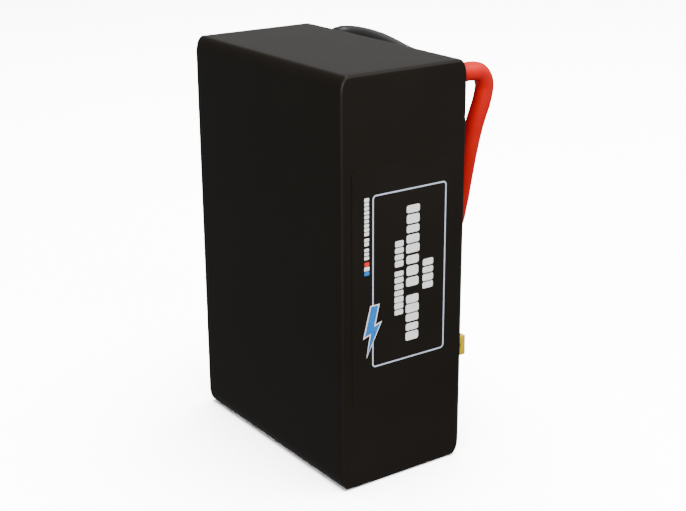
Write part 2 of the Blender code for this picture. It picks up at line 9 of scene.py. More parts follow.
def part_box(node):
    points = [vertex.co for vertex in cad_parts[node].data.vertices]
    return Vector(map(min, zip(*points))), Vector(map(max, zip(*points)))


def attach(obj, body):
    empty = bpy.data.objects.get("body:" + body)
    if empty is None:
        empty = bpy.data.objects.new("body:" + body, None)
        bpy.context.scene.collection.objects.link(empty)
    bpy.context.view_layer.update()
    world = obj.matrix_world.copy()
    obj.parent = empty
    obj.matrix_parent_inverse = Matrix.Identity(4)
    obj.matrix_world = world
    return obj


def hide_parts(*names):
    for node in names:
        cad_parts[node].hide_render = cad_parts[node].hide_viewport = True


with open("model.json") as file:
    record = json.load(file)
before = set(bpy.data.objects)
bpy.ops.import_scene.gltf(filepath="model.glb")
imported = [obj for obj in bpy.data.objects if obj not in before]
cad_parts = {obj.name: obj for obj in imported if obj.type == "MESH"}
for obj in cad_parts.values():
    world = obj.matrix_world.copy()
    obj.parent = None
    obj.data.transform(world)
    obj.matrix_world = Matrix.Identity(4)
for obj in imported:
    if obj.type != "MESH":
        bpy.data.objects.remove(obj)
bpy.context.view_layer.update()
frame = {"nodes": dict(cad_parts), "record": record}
print("frame loaded:", len(frame["nodes"]), "nodes")


cameraSpec = {
    "place": (0.3782, -0.2576, 0.2250),
    "heading": -55.028,     # degrees from +Y towards +X
    "tilt": -19.053,
    "roll": -0.329,
    "lens": 71.10,
    "sensor": 36.0,
    "clipStart": 0.01,
}


def placeCamera(spec):
    heading = math.radians(spec["heading"])
    tilt = math.radians(spec["tilt"])
    roll = math.radians(spec["roll"])
    level = math.cos(tilt)
    ahead = Vector((math.sin(heading) * level, math.cos(heading) * level, math.sin(tilt)))
    right = ahead.cross(Vector((0, 0, 1))).normalized()
    up = right.cross(ahead)
    turnedRight = right * math.cos(roll) + up * math.sin(roll)
    turnedUp = up * math.cos(roll) - right * math.sin(roll)
    camera = bpy.data.objects.new("camera", bpy.data.cameras.new("camera"))
    camera.data.lens = spec["lens"]
    camera.data.sensor_width = spec["sensor"]
    camera.data.clip_start = spec["clipStart"]
    camera.matrix_world = Matrix((
        (turnedRight.x, turnedUp.x, -ahead.x, spec["place"][0]),
        (turnedRight.y, turnedUp.y, -ahead.y, spec["place"][1]),
        (turnedRight.z, turnedUp.z, -ahead.z, spec["place"][2]),
        (0, 0, 0, 1),
    ))
    bpy.context.scene.collection.objects.link(camera)
    bpy.context.scene.camera = camera


placeCamera(cameraSpec)


def linkMesh(name, mesh):
    piece = bpy.data.objects.new(name, mesh)
    bpy.context.scene.collection.objects.link(piece)
    return piece


def meshFromShape(name, shape):
    mesh = bpy.data.meshes.new(name)
    shape.to_mesh(mesh)
    shape.free()
    return mesh


def ringMesh(name, rings, closeStart=True, closeEnd=True):
    # rings of equal count joined by quads, each end closed by one face
    shape = bmesh.new()
    rows = [[shape.verts.new(point) for point in ring] for ring in rings]
    count = len(rings[0])
    for near, far in zip(rows, rows[1:]):
        for index in range(count):
            after = (index + 1) % count
            shape.faces.new((near[index], near[after], far[after], far[index]))
    if closeStart:
        shape.faces.new(list(reversed(rows[0])))
    if closeEnd:
        shape.faces.new(rows[-1])
    bmesh.ops.recalc_face_normals(shape, faces=shape.faces)
    return meshFromShape(name, shape)


def ringPiece(name, rings):
    return linkMesh(name, ringMesh(name, rings))


def bakePiece(piece):
    graph = bpy.context.evaluated_depsgraph_get()
    mesh = bpy.data.meshes.new_from_object(piece.evaluated_get(graph))
    mesh.name = piece.name
    piece.modifiers.clear()
    piece.data = mesh
    return piece


def carve(piece, tools, operation="DIFFERENCE"):
    for tool in tools:
        step = piece.modifiers.new("carve", "BOOLEAN")
        step.operation = operation
        step.object = tool
        step.solver = "EXACT"
    bakePiece(piece)
    for tool in tools:
        bpy.data.objects.remove(tool, do_unlink=True)
    return piece


def finishPiece(piece, material, nodes=(), sharp=35):
    # one material, smooth faces with sharp creases, its body, and the CAD nodes it stands for hidden
    piece.data.materials.clear()
    piece.data.materials.append(material)
    for face in piece.data.polygons:
        face.material_index = 0
    piece.data.shade_smooth()
    piece.data.set_sharp_from_angle(angle=math.radians(sharp))
    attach(piece, "root")
    if nodes:
        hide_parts(*nodes)
    return piece


def roundedOutline(halfAcross, halfUp, cornerAcross, cornerUp, cornerSteps, acrossSteps, upSteps):
    # a rectangle about the middle with quarter ellipses, its straight runs divided
    points = []
    flatAcross = halfAcross - cornerAcross
    flatUp = halfUp - cornerUp
    runs = [
        ((flatAcross, flatUp), (1, 1), (-1, 0), acrossSteps, 2 * flatAcross),
        ((-flatAcross, flatUp), (-1, 1), (0, -1), upSteps, 2 * flatUp),
        ((-flatAcross, -flatUp), (-1, -1), (1, 0), acrossSteps, 2 * flatAcross),
        ((flatAcross, -flatUp), (1, -1), (0, 1), upSteps, 2 * flatUp),
    ]
    for corner, (centre, side, direction, steps, run) in enumerate(runs):
        for step in range(cornerSteps + 1):
            angle = math.pi / 2 * (corner + step / cornerSteps)
            across, up = cornerAcross * math.cos(angle), cornerUp * math.sin(angle)
            points.append((centre[0] + across, centre[1] + up))
        last = points[-1]
        for step in range(1, steps):
            share = step / steps
            points.append((last[0] + direction[0] * run * share, last[1] + direction[1] * run * share))
    return points


def roundedPolygon(corners, radius, steps):
    # every corner of a convex outline turned into an arc
    points = []
    count = len(corners)
    for index, corner in enumerate(corners):
        here = Vector(corner)
        before = (Vector(corners[index - 1]) - here).normalized()
        after = (Vector(corners[(index + 1) % count]) - here).normalized()
        half = before.angle(after) / 2
        reach = radius / math.tan(half)
        middle = here + (before + after).normalized() * radius / math.sin(half)
        start = here + before * reach - middle
        end = here + after * reach - middle
        for step in range(steps + 1):
            spoke = start.lerp(end, step / steps).normalized() * radius
            points.append(tuple(middle + spoke))
    return points


def blockTool(low, high):
    shape = bmesh.new()
    bmesh.ops.create_cube(shape, size=1.0)
    for vert in shape.verts:
        vert.co = Vector([low[axis] if vert.co[axis] < 0 else high[axis] for axis in range(3)])
    return linkMesh("tool", meshFromShape("tool", shape))


def turnedRings(profile, centre, sides, axis):
    # profile of (place along the axis, radius) turned about a line along X or Y
    rings = []
    for along, radius in profile:
        ring = []
        for side in range(sides):
            angle = 2 * math.pi * side / sides
            across = radius * math.cos(angle)
            up = radius * math.sin(angle)
            if axis == "X":
                ring.append((along, centre[0] + across, centre[1] + up))
            else:
                ring.append((centre[0] + across, along, centre[1] + up))
        rings.append(ring)
    return rings


def turnedTool(profile, centre, axis, sides=48):
    return ringPiece("tool", turnedRings(profile, centre, sides, axis))


class Finish:
    def __init__(self, name):
        self.material = bpy.data.materials.new(name)
        self.material.use_nodes = True
        self.nodes = self.material.node_tree.nodes
        self.links = self.material.node_tree.links
        self.shader = self.nodes["Principled BSDF"]
        self.place = self.add("ShaderNodeTexCoord").outputs["Object"]

    def add(self, kind, **values):
        # a new node, each value set on its property or else on its input
        node = self.nodes.new(kind)
        for title, value in values.items():
            if hasattr(node, title):
                setattr(node, title, value)
            else:
                node.inputs[title].default_value = value
        return node

    def speckle(self, scale, detail=4.0, stretch=(1, 1, 1)):
        mapping = self.add("ShaderNodeMapping", Scale=stretch)
        self.links.new(self.place, mapping.inputs["Vector"])
        texture = self.add("ShaderNodeTexNoise", Scale=scale, Detail=detail)
        self.links.new(mapping.outputs["Vector"], texture.inputs["Vector"])
        return texture.outputs["Fac"]

    def remap(self, value, low, high, fromLow=0.3, fromHigh=0.7):
        ramp = self.add("ShaderNodeMapRange")
        ramp.inputs["From Min"].default_value = fromLow
        ramp.inputs["From Max"].default_value = fromHigh
        ramp.inputs["To Min"].default_value = low
        ramp.inputs["To Max"].default_value = high
        self.links.new(value, ramp.inputs["Value"])
        return ramp.outputs["Result"]

    def blendColour(self, value, first, second):
        mix = self.add("ShaderNodeMix", data_type="RGBA")
        colourInputs = [socket for socket in mix.inputs if socket.type == "RGBA"]
        factor = [socket for socket in mix.inputs if socket.type == "VALUE"][0]
        for socket, colour in zip(colourInputs, (first, second)):
            if isinstance(colour, (tuple, list)):
                socket.default_value = (*colour, 1.0)
            else:
                self.links.new(colour, socket)
        self.links.new(value, factor)
        return [socket for socket in mix.outputs if socket.type == "RGBA"][0]

    def combine(self, first, second, operation="ADD"):
        node = self.add("ShaderNodeMath", operation=operation)
        for socket, value in zip(node.inputs, (first, second)):
            if isinstance(value, (int, float)):
                socket.default_value = value
            else:
                self.links.new(value, socket)
        return node.outputs[0]

    def colour(self, output):
        self.links.new(output, self.shader.inputs["Base Color"])
        return self

    def roughness(self, output):
        self.links.new(output, self.shader.inputs["Roughness"])
        return self

    def bump(self, output, strength, depth):
        node = self.add("ShaderNodeBump")
        node.inputs["Strength"].default_value = strength
        node.inputs["Distance"].default_value = depth
        self.links.new(output, node.inputs["Height"])
        self.links.new(node.outputs["Normal"], self.shader.inputs["Normal"])
        return self

    def fixed(self, values):
        for title, value in values.items():
            self.shader.inputs[title].default_value = value
        return self


plainLook = {
    "broadShare": 0.12,     # how much coarser the colour change is than the grain
    "broadDetail": 3.0,
    "fineDetail": 5.0,
    "bumpStrength": 0.35,
}


def plainFinish(name, dark, light, rough, grain, depth, metallic=0.0, specular=0.5, stretch=(1, 1, 1)):
    # two close colours and a roughness that wander over the surface, over a fine grain
    finish = Finish(name)
    broad = finish.speckle(grain * plainLook["broadShare"], plainLook["broadDetail"], stretch)
    fine = finish.speckle(grain, plainLook["fineDetail"], stretch)
    finish.colour(finish.blendColour(finish.remap(broad, 0.0, 1.0), dark, light))
    finish.roughness(finish.remap(fine, rough[0], rough[1]))
    finish.bump(fine, plainLook["bumpStrength"], depth)
    finish.fixed({"Metallic": metallic, "Specular IOR Level": specular})
    return finish


filmLook = {
    "dark": (0.0066, 0.0052, 0.0037),
    "light": (0.0080, 0.0064, 0.0047),
    "rough": (0.43, 0.46),
    "peel": 900,            # fine orange peel per metre
    "peelStrength": 0.25,
    "peelDepth": 0.00002,
    "drift": 26,            # slow change of gloss per metre
    "detail": 3.0,
    "specular": 0.14,
}
labelLook = {**filmLook, "rough": (0.44, 0.50), "peel": 1600}


def filmFinish(name, look):
    finish = Finish(name)
    drift = finish.speckle(look["drift"], look["detail"])
    peel = finish.speckle(look["peel"], look["detail"])
    finish.colour(finish.blendColour(finish.remap(drift, 0.0, 1.0), look["dark"], look["light"]))
    finish.roughness(finish.remap(drift, look["rough"][0], look["rough"][1]))
    finish.bump(peel, look["peelStrength"], look["peelDepth"])
    finish.fixed({"Specular IOR Level": look["specular"]})
    return finish


siliconeLook = {
    "dust": 1500,           # fine dust per metre
    "dustDetail": 6.0,
    "dustRange": (0.5, 0.75),
    "dustTone": 0.3,
    "dustHeight": 0.35,
    "cloud": 60,            # slow change of tone per metre
    "cloudDetail": 3.0,
    "cloudTone": 0.7,
    "ringStretch": (0.6, 700.0, 1.0),   # faint rings across the lead's length
    "ringDetail": 2.0,
    "depth": 0.00003,
}
redLook = {
    "dark": (0.56, 0.0025, 0.0018),
    "light": (0.67, 0.005, 0.0025),
    "rough": (0.36, 0.50),
    "specular": 0.28,
    "grain": 0.20,
}
blackLook = {
    "dark": (0.005, 0.005, 0.005),
    "light": (0.010, 0.009, 0.009),
    "rough": (0.30, 0.36),
    "specular": 1.0,
    "grain": 0.05,
}


def siliconeFinish(name, look):
    # soft extruded rubber: a matt skin with fine dust and faint rings along its length
    skin = siliconeLook
    finish = Finish(name)
    dust = finish.speckle(skin["dust"], skin["dustDetail"])
    cloud = finish.speckle(skin["cloud"], skin["cloudDetail"])
    rings = finish.add("ShaderNodeTexNoise", Scale=1.0, Detail=skin["ringDetail"])
    stretch = finish.add("ShaderNodeMapping", Scale=skin["ringStretch"])
    finish.links.new(finish.add("ShaderNodeUVMap").outputs["UV"], stretch.inputs["Vector"])
    finish.links.new(stretch.outputs["Vector"], rings.inputs["Vector"])
    cloudTone = finish.remap(cloud, 0.0, skin["cloudTone"])
    dustTone = finish.remap(dust, 0.0, skin["dustTone"], *skin["dustRange"])
    finish.colour(finish.blendColour(finish.combine(cloudTone, dustTone), look["dark"], look["light"]))
    finish.roughness(finish.remap(dust, look["rough"][0], look["rough"][1]))
    height = finish.combine(finish.combine(dust, skin["dustHeight"], "MULTIPLY"), rings.outputs["Fac"])
    finish.bump(height, look["grain"], skin["depth"])
    finish.fixed({"Specular IOR Level": look["specular"]})
    return finish


inkGrain = {"grain": 2600, "depth": 0.000008}
inkWhite = plainFinish("inkWhite", (0.78, 0.78, 0.77), (0.88, 0.88, 0.87), (0.5, 0.62), **inkGrain)
inkSilver = plainFinish("inkSilver", (0.44, 0.48, 0.60), (0.54, 0.58, 0.72), (0.42, 0.55), **inkGrain)
inkBlue = plainFinish("inkBlue", (0.003, 0.13, 0.44), (0.005, 0.17, 0.54), (0.45, 0.6), **inkGrain)
inkRed = plainFinish("inkRed", (0.66, 0.010, 0.004), (0.76, 0.016, 0.008), (0.45, 0.6), **inkGrain)
filmBlack = filmFinish("filmBlack", filmLook)
labelBlack = filmFinish("labelBlack", labelLook)
siliconeRed = siliconeFinish("siliconeRed", redLook)
siliconeBlack = siliconeFinish("siliconeBlack", blackLook)
sealBlack = plainFinish("sealBlack", (0.010, 0.010, 0.010), (0.018, 0.018, 0.017), (0.55, 0.75),
                        grain=1800, depth=0.00003)
nylonYellow = plainFinish("nylonYellow", (0.72, 0.47, 0.008), (0.82, 0.55, 0.014), (0.42, 0.54),
                          grain=1600, depth=0.00002, specular=0.25)
goldPlate = plainFinish("goldPlate", (0.83, 0.56, 0.20), (0.92, 0.66, 0.28), (0.16, 0.30),
                        grain=1200, depth=0.00001, metallic=1.0)
print("finishes made")


leadSpec = {
    "diameter": 0.0065,
    "exitRed": (0.0365, 0.02525, 0.135),
    "exitBlack": (0.0265, 0.02525, 0.135),
    "startY": 0.0161,       # inside the solder cups
    "contactGap": 0.0003,
    "sides": 36,
    "pathPoints": 220,
    "curveSteps": 24,
    "cutEdge": 0.0003,
    "cutScale": 0.90,
    "swell": 0.004,         # how much the thickness wanders
    "swellScale": 90.0,
}
exitMiddleX = (leadSpec["exitRed"][0] + leadSpec["exitBlack"][0]) / 2
exitSpread = (leadSpec["exitRed"][0] - leadSpec["exitBlack"][0]) / 2
exitHeight = leadSpec["exitRed"][2]
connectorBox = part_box("connector_housing")
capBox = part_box("connector_cap")
capBack = capBox[0][0]


def leadEnd(contact):
    # where a lead stops, just behind its contact
    low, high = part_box(contact)
    return (low[0] - leadSpec["contactGap"], (low[1] + high[1]) / 2, (low[2] + high[2]) / 2)


redEnd = leadEnd("positive_contact")
blackEnd = leadEnd("negative_contact")

redRoute = [
    (leadSpec["exitRed"][0], leadSpec["startY"], exitHeight), leadSpec["exitRed"],
    (0.0363, 0.0338, 0.1354), (0.0350, 0.0390, 0.1340), (0.0337, 0.0423, 0.1302),
    (0.0322, 0.0430, 0.1246), (0.0292, 0.0423, 0.1148), (0.0270, 0.0418, 0.1053),
    (0.0248, 0.0418, 0.0957), (0.0228, 0.0417, 0.0860), (0.0203, 0.0413, 0.0765),
    (0.0144, 0.0405, 0.0678), (0.0050, 0.0397, 0.0622), (-0.0064, 0.0390, 0.0588),
    (-0.0156, 0.0386, 0.0524), (-0.0182, 0.0384, 0.0436), (-0.0145, 0.0384, 0.0354),
    (-0.0064, redEnd[1], 0.0319), (capBack, redEnd[1], redEnd[2]), redEnd,
]
blackRoute = [
    (leadSpec["exitBlack"][0], leadSpec["startY"], exitHeight), leadSpec["exitBlack"],
    (0.0262, 0.0300, 0.1348), (0.0244, 0.0343, 0.1341), (0.0208, 0.0370, 0.1334),
    (0.0150, 0.0381, 0.1331), (0.0060, 0.0382, 0.1335), (-0.0040, 0.0380, 0.1344),
    (-0.0130, 0.0384, 0.1358), (-0.0215, 0.0387, 0.1368), (-0.0290, 0.0378, 0.1374),
    (-0.0345, 0.0356, 0.1377), (-0.0384, 0.0322, 0.1372), (-0.0406, 0.0297, 0.1342),
    (-0.0414, 0.0290, 0.1280), (-0.0415, 0.0290, 0.1190), (-0.0414, 0.0294, 0.1060),
    (-0.0408, 0.0302, 0.0860), (-0.0385, 0.0307, 0.0670), (-0.0336, 0.0310, 0.0490),
    (-0.0244, 0.0311, 0.0370), (-0.0120, blackEnd[1], 0.0321), (capBack, blackEnd[1], blackEnd[2]),
    blackEnd,
]


def smoothRoute(points, count):
    # evenly spaced points on a centripetal curve through the route's points
    path = [Vector(point) for point in points]
    path = [2 * path[0] - path[1]] + path + [2 * path[-1] - path[-2]]
    fine = []
    for index in range(1, len(path) - 2):
        before, start, end, after = path[index - 1:index + 3]
        knots = [0.0]
        for left, right in ((before, start), (start, end), (end, after)):
            knots.append(knots[-1] + math.sqrt((right - left).length))
        steps = leadSpec["curveSteps"]
        for step in range(steps):
            at = knots[1] + (knots[2] - knots[1]) * step / steps
            first = before.lerp(start, at / knots[1])
            second = start.lerp(end, (at - knots[1]) / (knots[2] - knots[1]))
            third = end.lerp(after, (at - knots[2]) / (knots[3] - knots[2]))
            early = first.lerp(second, at / knots[2])
            late = second.lerp(third, (at - knots[1]) / (knots[3] - knots[1]))
            fine.append(early.lerp(late, (at - knots[1]) / (knots[2] - knots[1])))
    fine.append(path[-2])
    lengths = [0.0]
    for left, right in zip(fine, fine[1:]):
        lengths.append(lengths[-1] + (right - left).length)
    points = []
    place = 0
    for number in range(count):
        wanted = lengths[-1] * number / (count - 1)
        while place < len(fine) - 2 and lengths[place + 1] < wanted:
            place += 1
        share = (wanted - lengths[place]) / (lengths[place + 1] - lengths[place])
        points.append(fine[place].lerp(fine[place + 1], share))
    return points, lengths[-1]


def sweptTube(name, path, spec):
    # rings carried along the path without twist, with UV of (turn, length)
    radius = spec["diameter"] / 2
    sides = spec["sides"]
    last = len(path) - 1
    ahead = []
    for index in range(len(path)):
        ahead.append((path[min(index + 1, last)] - path[max(index - 1, 0)]).normalized())
    side = ahead[0].orthogonal().normalized()
    rings = []
    lengths = []
    travelled = 0.0
    for index, point in enumerate(path):
        if index:
            travelled += (point - path[index - 1]).length
            side = (side - ahead[index] * side.dot(ahead[index])).normalized()
        other = ahead[index].cross(side)
        swell = 1.0 + spec["swell"] * noise.noise(point * spec["swellScale"])

        def ringAt(shift, scale):
            return [point + ahead[index] * shift + (side * math.cos(2 * math.pi * k / sides)
                    + other * math.sin(2 * math.pi * k / sides)) * radius * scale for k in range(sides)]

        if index == 0:
            rings.append(ringAt(0.0, spec["cutScale"]))
            lengths.append(travelled)
            rings.append(ringAt(spec["cutEdge"], swell))
        elif index == last:
            rings.append(ringAt(-spec["cutEdge"], swell))
            lengths.append(travelled)
            rings.append(ringAt(0.0, spec["cutScale"]))
        else:
            rings.append(ringAt(0.0, swell))
        lengths.append(travelled)
    mesh = ringMesh(name, rings)
    uvMap = mesh.uv_layers.new(name="tubeMap")
    for face in mesh.polygons:
        turns = [loop % sides for loop in (mesh.loops[k].vertex_index for k in face.loop_indices)]
        wraps = max(turns) - min(turns) > sides / 2
        for corner, turn in zip(face.loop_indices, turns):
            ringIndex = mesh.loops[corner].vertex_index // sides
            around = turn + sides if wraps and turn < sides / 2 else turn
            uvMap.data[corner].uv = (around / sides, lengths[ringIndex])
    return mesh


def makeLead(name, route, material, node):
    path, length = smoothRoute(route, leadSpec["pathPoints"])
    mesh = sweptTube(name, path, leadSpec)
    lead = finishPiece(linkMesh(name, mesh), material, [node], 50)
    return lead, path, length


redLead, redPath, redLength = makeLead("redLead", redRoute, siliconeRed.material, "red_lead")
blackLead, blackPath, blackLength = makeLead("blackLead", blackRoute, siliconeBlack.material,
                                             "black_lead")
print("leads made:", round(redLength, 4), round(blackLength, 4))


filmSpec = {
    "cornerAcross": 0.003,  # the rounded top and bottom edges, along Y and along Z
    "cornerUp": 0.006,
    "rim": 0.0012,          # the small round about each narrow side
    "rimSteps": 6,
    "cornerSteps": 12,
    "acrossSteps": 16,
    "upSteps": 38,
    "alongSteps": 26,
    "wall": 0.0003,         # thickness of the film
    "slack": 0.00004,       # how far the film wanders inwards over a large face
    "slackScales": (38.0, 90.0),
    "slackShares": (0.5, 0.25),
    "flatFrom": 0.97,       # how level a face is before the film sinks
    "flatReach": 0.03,
    "leastCorner": (0.0006, 0.0012),
    "lipWidth": 0.0085,     # the folded-over edge on the plain narrow side
    "lipStep": 0.0002,
    "lipFoot": 0.0004,      # how far the edge's slope reaches at its foot and at its shoulder
    "lipShoulder": 0.0001,
    "lipBend": 0.4,
    "lipWave": 0.006,       # how unevenly the edge runs, as a share of its size
    "waves": [(0.5, 7, 0.6), (0.3, 17, 0.0), (0.2, 31, 0.0)],      # share, count and start
    "plainSteps": 12,
    "lipSteps": 8,
    "labelSteps": 17,
    "plainMiddle": 0.03,    # size of the last ring in the middle of each narrow side, as a share
    "labelMiddle": 0.02,
    "exitReach": 0.0047,
    "exitCut": (0.006, 0.004),      # how far the cut reaches in and out
}
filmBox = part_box("shrink_wrap")
halfWidth = filmBox[1][0]
halfDepth = filmBox[1][1]
packHeight = filmBox[1][2]


def filmRing(x, inset, wave=0.0):
    spec = filmSpec
    halfAcross = halfDepth - inset
    halfUp = packHeight / 2 - inset
    cornerAcross = max(spec["cornerAcross"] - inset, spec["leastCorner"][0])
    cornerUp = max(spec["cornerUp"] - inset, spec["leastCorner"][1])
    outline = roundedOutline(halfAcross, halfUp, cornerAcross, cornerUp, spec["cornerSteps"],
                             spec["acrossSteps"], spec["upSteps"])
    ring = []
    for index, (across, up) in enumerate(outline):
        pull = 1.0
        if wave:
            turn = 2 * math.pi * index / len(outline)
            ripple = sum(share * math.sin(count * turn + start) for share, count, start in spec["waves"])
            pull += wave * ripple
        ring.append(Vector((x, across * pull, packHeight / 2 + up * pull)))
    return ring


def shrunkRing(ring, share):
    middle = packHeight / 2
    return [Vector((point.x, point.y * share, middle + (point.z - middle) * share)) for point in ring]


def filmWander(point):
    # how far the film sinks here
    slow, fast = filmSpec["slackScales"]
    slowShare, fastShare = filmSpec["slackShares"]
    wander = noise.noise(point * slow) * slowShare + noise.noise(point * fast + Vector((3, 1, 7))) * fastShare
    return (0.5 + wander) * filmSpec["slack"]


def edgeFade(value, reach):
    share = min(max(value / reach, 0.0), 1.0)
    return share * share * (3 - 2 * share)


def rimRings(sign, outwards):
    # the small round between a narrow side and the faces along X
    spec = filmSpec
    rim = spec["rim"]
    rings = []
    for step in range(spec["rimSteps"] + 1):
        angle = math.pi / 2 * step / spec["rimSteps"]
        reach = rim * (1 - math.sin(angle))
        inset = rim * (1 - math.cos(angle))
        if outwards:
            rings.append(filmRing(sign * (halfWidth - inset), reach))
        else:
            rings.append(filmRing(sign * (halfWidth - reach), inset))
    return rings


def plainSideRings():
    # the narrow side away from the label: a middle a step lower, then the folded-over edge
    spec = filmSpec
    lip, step, wave = spec["lipWidth"], spec["lipStep"], spec["lipWave"]
    inner = filmRing(-halfWidth + step, lip + spec["lipFoot"], wave)
    shares = [spec["plainMiddle"]] + [number / spec["plainSteps"] for number in range(1, spec["plainSteps"])]
    rings = [shrunkRing(inner, share) for share in shares]
    rings.append(inner)
    rings.append(filmRing(-halfWidth + step * spec["lipBend"], lip + spec["lipShoulder"], wave))
    rings.append(filmRing(-halfWidth, lip, wave))
    for number in range(1, spec["lipSteps"]):
        share = number / spec["lipSteps"]
        rings.append(filmRing(-halfWidth, lip * (1 - share) + spec["rim"] * share, wave * (1 - share)))
    return rings


def labelSideRings():
    flat = filmRing(halfWidth, filmSpec["rim"])
    steps, middle = filmSpec["labelSteps"], filmSpec["labelMiddle"]
    return [shrunkRing(flat, (1 - number / steps) * (1 - middle) + middle) for number in range(1, steps)]


def buildFilm():
    spec = filmSpec
    rings = plainSideRings() + rimRings(-1, True)
    for number in range(1, spec["alongSteps"]):
        share = number / spec["alongSteps"]
        rings.append(filmRing((halfWidth - spec["rim"]) * (2 * share - 1), 0.0))
    rings += rimRings(1, False) + labelSideRings()
    mesh = ringMesh("shrinkFilm", rings)
    for vert in mesh.vertices:
        point = vert.co.copy()
        normal = vert.normal
        flatness = max(abs(normal.x), abs(normal.y), abs(normal.z))
        fade = edgeFade(flatness - spec["flatFrom"], spec["flatReach"])
        vert.co = point - normal * filmWander(point) * fade
    film = linkMesh("shrinkFilm", mesh)
    shell = film.modifiers.new("wall", "SOLIDIFY")
    shell.thickness = spec["wall"]
    shell.offset = -1.0
    bakePiece(film)
    outline = slotOutline(exitMiddleX, exitSpread, exitHeight, spec["exitReach"])
    ends = (halfDepth - spec["exitCut"][0], halfDepth + spec["exitCut"][1])
    carve(film, [ringPiece("tool", [[(x, y, z) for x, z in outline] for y in ends])])
    return finishPiece(film, filmBlack.material, ["shrink_wrap"], 32)


def slotOutline(middleX, spread, middleZ, reach, steps=14):
    points = []
    for side, start in ((1, -math.pi / 2), (-1, math.pi / 2)):
        for step in range(steps + 1):
            angle = start + math.pi * step / steps
            across = side * spread + reach * math.cos(angle)
            points.append((middleX + across, middleZ + reach * math.sin(angle)))
    return points


buildFilm()
print("film made")


sealSpec = {
    "reach": 0.0044,
    "round": 0.0004,
    "roundSteps": 5,
    "hole": 0.0034,
    "flare": 0.0007,        # how much wider each hole is at its mouth
    "flareDepth": 0.0005,
    "flarePast": 0.0006,
    "cutPast": 0.001,
    "lipRadius": 0.00028,
    "lipShift": 0.00012,
    "lipSides": 10,
    "lipSteps": 20,
}


def makeSeal():
    spec = sealSpec
    low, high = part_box("lead_grommet")
    near, far = low[1], high[1]
    middleX = (low[0] + high[0]) / 2
    middleZ = (low[2] + high[2]) / 2
    profile = [(near, 0.0)]
    for step in range(spec["roundSteps"] + 1):
        angle = math.pi / 2 * step / spec["roundSteps"]
        profile.append((far - spec["round"] * (1 - math.sin(angle)), spec["round"] * (1 - math.cos(angle))))
    rings = []
    for y, inset in profile:
        outline = slotOutline(middleX, exitSpread, middleZ, spec["reach"] - inset)
        rings.append([(x, y, z) for x, z in outline])
    seal = ringPiece("leadSeal", rings)
    hole = [(near - spec["cutPast"], spec["hole"]), (far - spec["flareDepth"], spec["hole"]),
            (far + spec["flarePast"], spec["hole"] + spec["flare"])]
    carve(seal, [turnedTool(hole, (leadSpec[name][0], middleZ), "Y") for name in ("exitRed", "exitBlack")])
    return finishPiece(seal, sealBlack.material, ["lead_grommet"])


def cornerDrop(z):
    # how far the film's rounded top corner lies below the back face
    over = (z - packHeight + filmSpec["cornerUp"]) / filmSpec["cornerUp"]
    if over <= 0:
        return 0.0
    return filmSpec["cornerAcross"] * (1 - math.sqrt(max(0.0, 1 - over ** 2)))


def makeExitLip():
    # the rolled edge of the film about the seal
    spec = sealSpec
    reach = filmSpec["exitReach"] + spec["lipShift"]
    outline = slotOutline(exitMiddleX, exitSpread, exitHeight, reach, spec["lipSteps"])
    sides = spec["lipSides"]
    shape = bmesh.new()
    rows = []
    for index, (x, z) in enumerate(outline):
        before = Vector(outline[index - 1])
        after = Vector(outline[(index + 1) % len(outline)])
        along = (after - before).normalized()
        row = []
        for side in range(sides):
            angle = 2 * math.pi * side / sides
            out = spec["lipRadius"] * math.cos(angle)
            y = halfDepth - cornerDrop(z) + spec["lipRadius"] * math.sin(angle)
            row.append(shape.verts.new((x + along.y * out, y, z - along.x * out)))
        rows.append(row)
    for index, row in enumerate(rows):
        following = rows[(index + 1) % len(rows)]
        for side in range(sides):
            after = (side + 1) % sides
            shape.faces.new((row[side], row[after], following[after], following[side]))
    bmesh.ops.recalc_face_normals(shape, faces=shape.faces)
    lip = linkMesh("filmExitLip", meshFromShape("filmExitLip", shape))
    return finishPiece(lip, filmBlack.material, (), 60)


leadSeal = makeSeal()
makeExitLip()
print("seal made")


connectorSpec = {
    "key": 0.0012,          # how much the two keyed corners are cut
    "corner": 0.0003,
    "cornerSteps": 5,
    "rim": 0.0003,
    "rimSteps": 4,
    "grooveWidth": 0.0005,
    "grooveDepth": 0.00025,
    "housingGrooves": (0.0022, 0.0038),     # measured from the back
    "capGrooves": (0.0018, 0.0030, 0.0042),
    "stepPlaces": (0.0056, 0.0060),
    "stepIn": 0.00022,      # the front part is this much slimmer all round
    "stepStop": 0.0012,
    "bore": 0.0025,
    "mouth": 0.0019,        # the lip in front that keeps each contact in
    "lipDepth": 0.0008,
    "lipSlope": 0.9,
    "mouthRound": 0.0002,
    "mouthFlare": 0.0004,
    "slot": (0.0008, 0.00035, 0.0022),      # depth, half width and half height
    "cutPast": 0.001,
    "capBore": 0.00345,
    "capRim": 0.00018,
}
connectorMiddle = [(low + high) / 2 for low, high in zip(*connectorBox)]
connectorHalf = [(high - low) / 2 for low, high in zip(*connectorBox)]


def keyedOutline(inset):
    # the outline, whose two corners on the black lead's side are cut off so that it fits one way
    spec = connectorSpec
    halfAcross = connectorHalf[1] - inset
    halfUp = connectorHalf[2] - inset
    key = spec["key"]
    corners = [(key - halfAcross, -halfUp), (halfAcross, -halfUp), (halfAcross, halfUp),
               (key - halfAcross, halfUp), (-halfAcross, halfUp - key), (-halfAcross, key - halfUp)]
    rounded = roundedPolygon(corners, spec["corner"], spec["cornerSteps"])
    return [(connectorMiddle[1] + across, connectorMiddle[2] + up) for across, up in rounded]


def shellAlongX(name, profile):
    return ringPiece(name, [[(x, y, z) for y, z in keyedOutline(inset)] for x, inset in profile])


